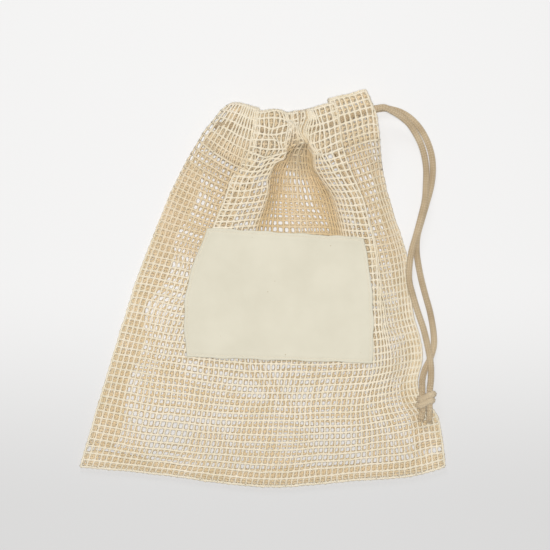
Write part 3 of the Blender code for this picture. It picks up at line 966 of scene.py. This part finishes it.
def patch_grid_line(length):
    """Stations across the patch, close together near its edges."""
    edge = np.array(PATCH_EDGE_STEPS)
    inner = np.linspace(edge[-1], length - edge[-1], int(length / PATCH_STEP))[1:-1]
    return np.concatenate([edge, inner, length - edge[::-1]])


def patch_outline(u, v):
    """Places in the plane at u from the patch's left edge and v from its lower edge."""
    s, t = u / PATCH_WIDTH, v / PATCH_HEIGHT
    low_left, low_right, high_right, high_left = PATCH_CORNERS
    low = low_left + (low_right - low_left) * s[..., None]
    high = high_left + (high_right - high_left) * s[..., None]
    place = low + (high - low) * t[..., None]
    place[..., 0] += np.sin(math.pi * t) * (PATCH_RIGHT_BULGE * s - PATCH_LEFT_BULGE * (1.0 - s))
    return place


def patch_waves(u, v, near_edge):
    """The face's unevenness: short ripples along the edges and slow waves in the middle."""
    ripple = 0.22 * np.sin(u / 3.1 + 1.3 * np.sin(v / 17.0)) + 0.2 * np.sin(v / 3.4 + 1.5 * np.sin(u / 21.0))
    wave = 0.35 * np.sin(u / 19.0 + v / 31.0) + 0.3 * np.sin(v / 16.0 - u / 37.0 + 1.0)
    return near_edge * ripple + 0.5 * (1.0 - near_edge) * wave


def patch_surface(u, v):
    """The patch's upper face at u from its left edge and v from its lower edge."""
    across = np.minimum(u, PATCH_WIDTH - u)
    along = np.minimum(v, PATCH_HEIGHT - v)
    depth = np.minimum(across, along)
    z = PATCH_LEVEL + PATCH_THICKNESS + patch_waves(u, v, np.exp(-depth / RIPPLE_REACH))
    z = z + FOLD_STEP * smooth_step((PATCH_FOLD - depth) / FOLD_SLOPE)
    z = z - FURROW_DEPTH * np.exp(-(((depth - PATCH_STITCH_INSET) / FURROW_WIDTH) ** 2))
    short_of_flat = 1.0 - np.minimum(depth / EDGE_ROUNDING, 1.0)
    z = z - EDGE_DROP * (1.0 - np.sqrt(np.clip(1.0 - short_of_flat ** 2, 0.0, 1.0)))
    outward = 0.35 * np.sin(u / 6.0 + v / 4.5) + 0.2 * np.sin(u / 2.7 - v / 3.3)
    shift = np.stack(
        [np.where(across <= along, outward, 0.0), np.where(along < across, outward, 0.0)], axis=-1
    )
    place = patch_outline(u, v) + shift * np.exp(-depth / OUTLINE_REACH)[..., None]
    return np.concatenate([place, z[..., None]], axis=-1)


def canvas_patch(material):
    """The patch as one closed piece: its uneven upper face, its sides and its flat underside."""
    u, v = np.meshgrid(patch_grid_line(PATCH_WIDTH), patch_grid_line(PATCH_HEIGHT))
    top = patch_surface(u, v)
    under = top.copy()
    under[..., 2] = PATCH_LEVEL
    index = np.arange(u.size).reshape(u.shape)
    quads = np.stack([index[:-1, :-1], index[:-1, 1:], index[1:, 1:], index[1:, :-1]], axis=-1)
    quads = quads.reshape(-1, 4)
    border = np.concatenate([index[0, :-1], index[:-1, -1], index[-1, :0:-1], index[:0:-1, 0]])
    onward = np.roll(border, -1)
    sides = np.stack([border + u.size, onward + u.size, onward, border], axis=-1)
    vertices = np.concatenate([top.reshape(-1, 3), under.reshape(-1, 3)])
    faces = np.concatenate([quads, quads[:, ::-1] + u.size, sides])
    plain = np.zeros(len(vertices))
    part = (vertices, faces, np.empty((0, 4), int), plain, plain)
    return mesh_piece("canvas_patch_cloth", [part], material, "canvas_patch")


def patch_stitches(material):
    """One line of stitches round the patch, inside its edge."""
    low = PATCH_STITCH_INSET
    right, high = PATCH_WIDTH - low, PATCH_HEIGHT - low
    ring = np.array([(low, low), (right, low), (right, high), (low, high), (low, low)])
    wanted = stitched_places(ring)
    points = patch_surface(*read_along(ring, ring, wanted).T)
    points[:, 2] += PATCH_LIFT - PATCH_DIP * stitch_dips(wanted)
    parts = [thread_part(points, upright(points), PATCH_THREAD)]
    return mesh_piece("patch_stitches", parts, material, "patch_stitching")


# ---------- drawstring

# The sleeve braid: carriers each way, the length of one turn, and the radii of its layers
CARRIERS = 8
BRAID_PITCH = 17.0
BRAID_RADIUS = 2.02
BRAID_WAVE = 0.36
CARRIER_RADIUS, CARRIER_SIDES, CARRIER_FLATNESS, CARRIER_TWIST = 0.55, 5, 0.8, 1.3
CORE_RADIUS, CORE_SIDES = 1.85, 10
CORD_STEP = 0.6
# Tone of the carriers each way, and the painted shade on the core, which shows in the grooves between them
CARRIER_TONES = (0.0, 0.6)
CORE_SHADE = 1.0
STRAND_POINTS = 160
LOOP_LEFT, LOOP_RIGHT = -30.0, 94.9
LOOP_RADIUS = 8.2
LOOP_RUN_POINTS, LOOP_TURN_POINTS = 14, 9
CASING_LINE = np.array([
    (-56.0, 135.6), (-30.0, 132.5), (27.0, 129.0), (62.0, 136.5), (82.0, 144.6), (98.0, 147.2),
])
KNOT_CENTRE = np.array([134.2, -92.2, 10.9])
# Each turn of the knot: its place along the strands, and the cord's size in it
KNOT_TURNS = ((2.6, 1.02), (-2.4, 1.04))
KNOT_HALF_WIDTH, KNOT_SLANT, KNOT_HALF_HEIGHT = 5.6, 2.1, 3.2
# Less painted shade on the knot than on the strands: a painted highlight, the knot being lit from above
KNOT_SHADE = 0.2
KNOT_SAG = 2.0
PASSING_SIZE, TAIL_SIZE = 0.99, 0.97
# A cut end's loose fibres
FRAY_FIBRES = 90
FRAY_RADIUS = 2.0
FRAY_LENGTHS = (0.8, 2.2)
FRAY_STEPS = np.array([-0.3, 0.3, 0.7, 1.0])
FRAY_SPREAD = 0.45
FIBRE_RADIUS, FIBRE_SIDES = 0.13, 4


def braid_parts(points, scale=1.0, shade=1.0):
    """A sleeve braid along a line: carriers that wind both ways and pass over and under each other."""
    length = lengths_along(np.asarray(points, float))[-1]
    line = even_curve(points, max(8, int(length / CORD_STEP)))
    normals = carried_normals(line)
    across = np.cross(unit(np.gradient(line, axis=0)), normals)
    winding = 2.0 * math.pi * lengths_along(line) / BRAID_PITCH
    paths, ups, tones_and_painted_shade = [], [], []
    for way, tone_and_painted_shade in zip((1.0, -1.0), CARRIER_TONES):
        over = way * BRAID_WAVE * np.cos(CARRIERS * winding)
        for carrier in range(CARRIERS):
            angle = way * winding + 2.0 * math.pi * carrier / CARRIERS
            out = across * np.cos(angle)[:, None] + normals * np.sin(angle)[:, None]
            paths.append(line + out * ((BRAID_RADIUS + over) * scale)[:, None])
            ups.append(out)
            tones_and_painted_shade.append([shade * tone_and_painted_shade])
    carriers = sweep(
        np.array(paths), np.array(ups), CARRIER_RADIUS * scale, CARRIER_SIDES,
        squash=CARRIER_FLATNESS, pitch=CARRIER_TWIST, tone_and_painted_shade=np.array(tones_and_painted_shade),
    )
    # The core, dark with painted shade in the grooves between the carriers; shade scales this and the
    # carriers' tone
    core = sweep(
        line[None, ::2], normals[None, ::2], CORE_RADIUS * scale, CORE_SIDES, tone_and_painted_shade=shade * CORE_SHADE
    )
    return [carriers, core]


def free_strand(letter, points, material):
    """A free strand of the drawstring, the path it follows and its length, in metres."""
    piece = mesh_piece(f"strand_{letter}", braid_parts(points), material, f"drawstring_strand_{letter}")
    path = even_curve(points, STRAND_POINTS) * MM
    return piece, path, float(lengths_along(path)[-1])


def casing_loop(material):
    """The cord's run inside the hem: along the front, round the left seam and back."""
    run = np.linspace(LOOP_RIGHT, LOOP_LEFT, LOOP_RUN_POINTS)[:-1]
    path = [(x, 0.0) for x in run]
    path += [(LOOP_LEFT, turn) for turn in np.linspace(0.0, math.pi, LOOP_TURN_POINTS)]
    path += [(x, math.pi) for x in run[::-1]]
    points = []
    for x, turn in path:
        x -= LOOP_RADIUS * math.sin(turn)
        y = float(spline(CASING_LINE[:, 0], CASING_LINE[:, 1], [x])[0])
        points.append((x, y, SEAM_LEVEL + LOOP_RADIUS * math.cos(turn)))
    return mesh_piece("casing_cord", braid_parts(points), material, "drawstring_loop")


def overhand_knot(material):
    """The knot in both strands: a doubled turn of cord drawn tight round them."""
    turn = np.linspace(-0.5 * math.pi, 1.5 * math.pi, 40)
    parts = []
    for offset, size in KNOT_TURNS:
        ring = np.stack([
            KNOT_HALF_WIDTH * np.cos(turn) + 0.2 * offset,
            offset + KNOT_SLANT * np.cos(turn) + 0.5 * np.sin(2.0 * turn),
            KNOT_HALF_HEIGHT * np.sin(turn) + 0.3 * np.sin(3.0 * turn),
        ], axis=1)
        # The knot's turns take less of the painted shade: a painted highlight
        parts += braid_parts(KNOT_CENTRE + ring, size, KNOT_SHADE)
    for entry, leaving in ((STRAND_A[-2:], TAIL_B[:2]), (STRAND_B[-2:], TAIL_A[:2])):
        before, start, end, after = np.array([*entry, *leaving])
        middle = (start + end) / 2.0 - (0.0, 0.0, KNOT_SAG)
        path = [start + 0.2 * (before - start), start, middle, end, end + 0.4 * (after - end)]
        parts += braid_parts(path, PASSING_SIZE)
    return mesh_piece("overhand_knot", parts, material, "drawstring_knot")


def frayed_end(end, direction):
    """Short loose fibres at a cut end."""
    turn = RNG.uniform(0.0, 2.0 * math.pi, FRAY_FIBRES)
    reach = np.sqrt(RNG.uniform(0.0, 1.0, FRAY_FIBRES)) * FRAY_RADIUS
    side = unit(np.cross(direction, [0.0, 0.0, 1.0]))
    up = np.cross(side, direction)
    out = side * np.cos(turn)[:, None] + up * np.sin(turn)[:, None]
    length = RNG.uniform(*FRAY_LENGTHS, FRAY_FIBRES)
    spread = reach[:, None] * (1.0 + FRAY_SPREAD * FRAY_STEPS ** 2)
    paths = end + out[:, None] * spread[..., None]
    paths = paths + direction * (length[:, None] * FRAY_STEPS)[..., None]
    return sweep(paths, np.repeat(out[:, None], len(FRAY_STEPS), axis=1), FIBRE_RADIUS, FIBRE_SIDES)


def tail(letter, points, material):
    points = np.array(points)
    direction = unit(points[-1] - points[-2])
    parts = [*braid_parts(points, TAIL_SIZE), frayed_end(points[-1], direction)]
    return mesh_piece(f"tail_{letter}", parts, material, f"drawstring_tail_{letter}")


def drawstring(cord):
    strands = [free_strand("a", STRAND_A, cord), free_strand("b", STRAND_B, cord)]
    knot = overhand_knot(cord)
    tails = [tail("a", TAIL_A, cord), tail("b", TAIL_B, cord)]
    for piece in (*(strand[0] for strand in strands), knot, *tails, casing_loop(cord)):
        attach(piece, "drawstring")


# ---------- the whole bag


def bag_cloth(net, canvas, thread):
    front, front_inner = front_layer()
    back, back_inner = back_layer()
    panel, hem = np.s_[: ROWS + 1], np.s_[ROWS:]
    # Painted shade in the folds and creases of the upper layer
    tone_and_painted_shade = fold_shade()
    front_net = mesh_piece("front_net", net_parts(front[panel], tone_and_painted_shade[panel]), net, "front_mesh_panel")
    # The under layer carries painted shade all over
    back_net = mesh_piece("back_net", net_parts(back[panel], UNDER_LAYER_SHADE), net, "back_mesh_panel")
    front_hem = hem_net("front", front[hem], front_inner, tone_and_painted_shade[hem], FRONT_SHIFT, net)
    back_hem = hem_net("back", back[hem], back_inner, np.zeros_like(tone_and_painted_shade[hem]), BACK_SHIFT, net)
    left, *allowances = seam_allowances(back, net)
    left_thread, *threads = seam_threads(front, back, thread)
    hem_threads = [hem_stitches("front", front, 1.0, thread), hem_stitches("back", back, -1.0, thread)]
    patch = canvas_patch(canvas)
    stitches = patch_stitches(thread)

    for piece in (*allowances, *threads, patch, stitches):
        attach(piece, "bag")
    for piece in (front_net, back_net, front_hem, back_hem, left, left_thread, *hem_threads):
        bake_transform(piece)


make_camera()
drawstring(twisted_yarn("braided_cord", **CORD_YARN))
bag_cloth(
    twisted_yarn("cotton_net", **NET_YARN), woven_canvas("cotton_canvas"),
    twisted_yarn("sewing_thread", **SEWING_YARN),
)
make_floor()
make_light()
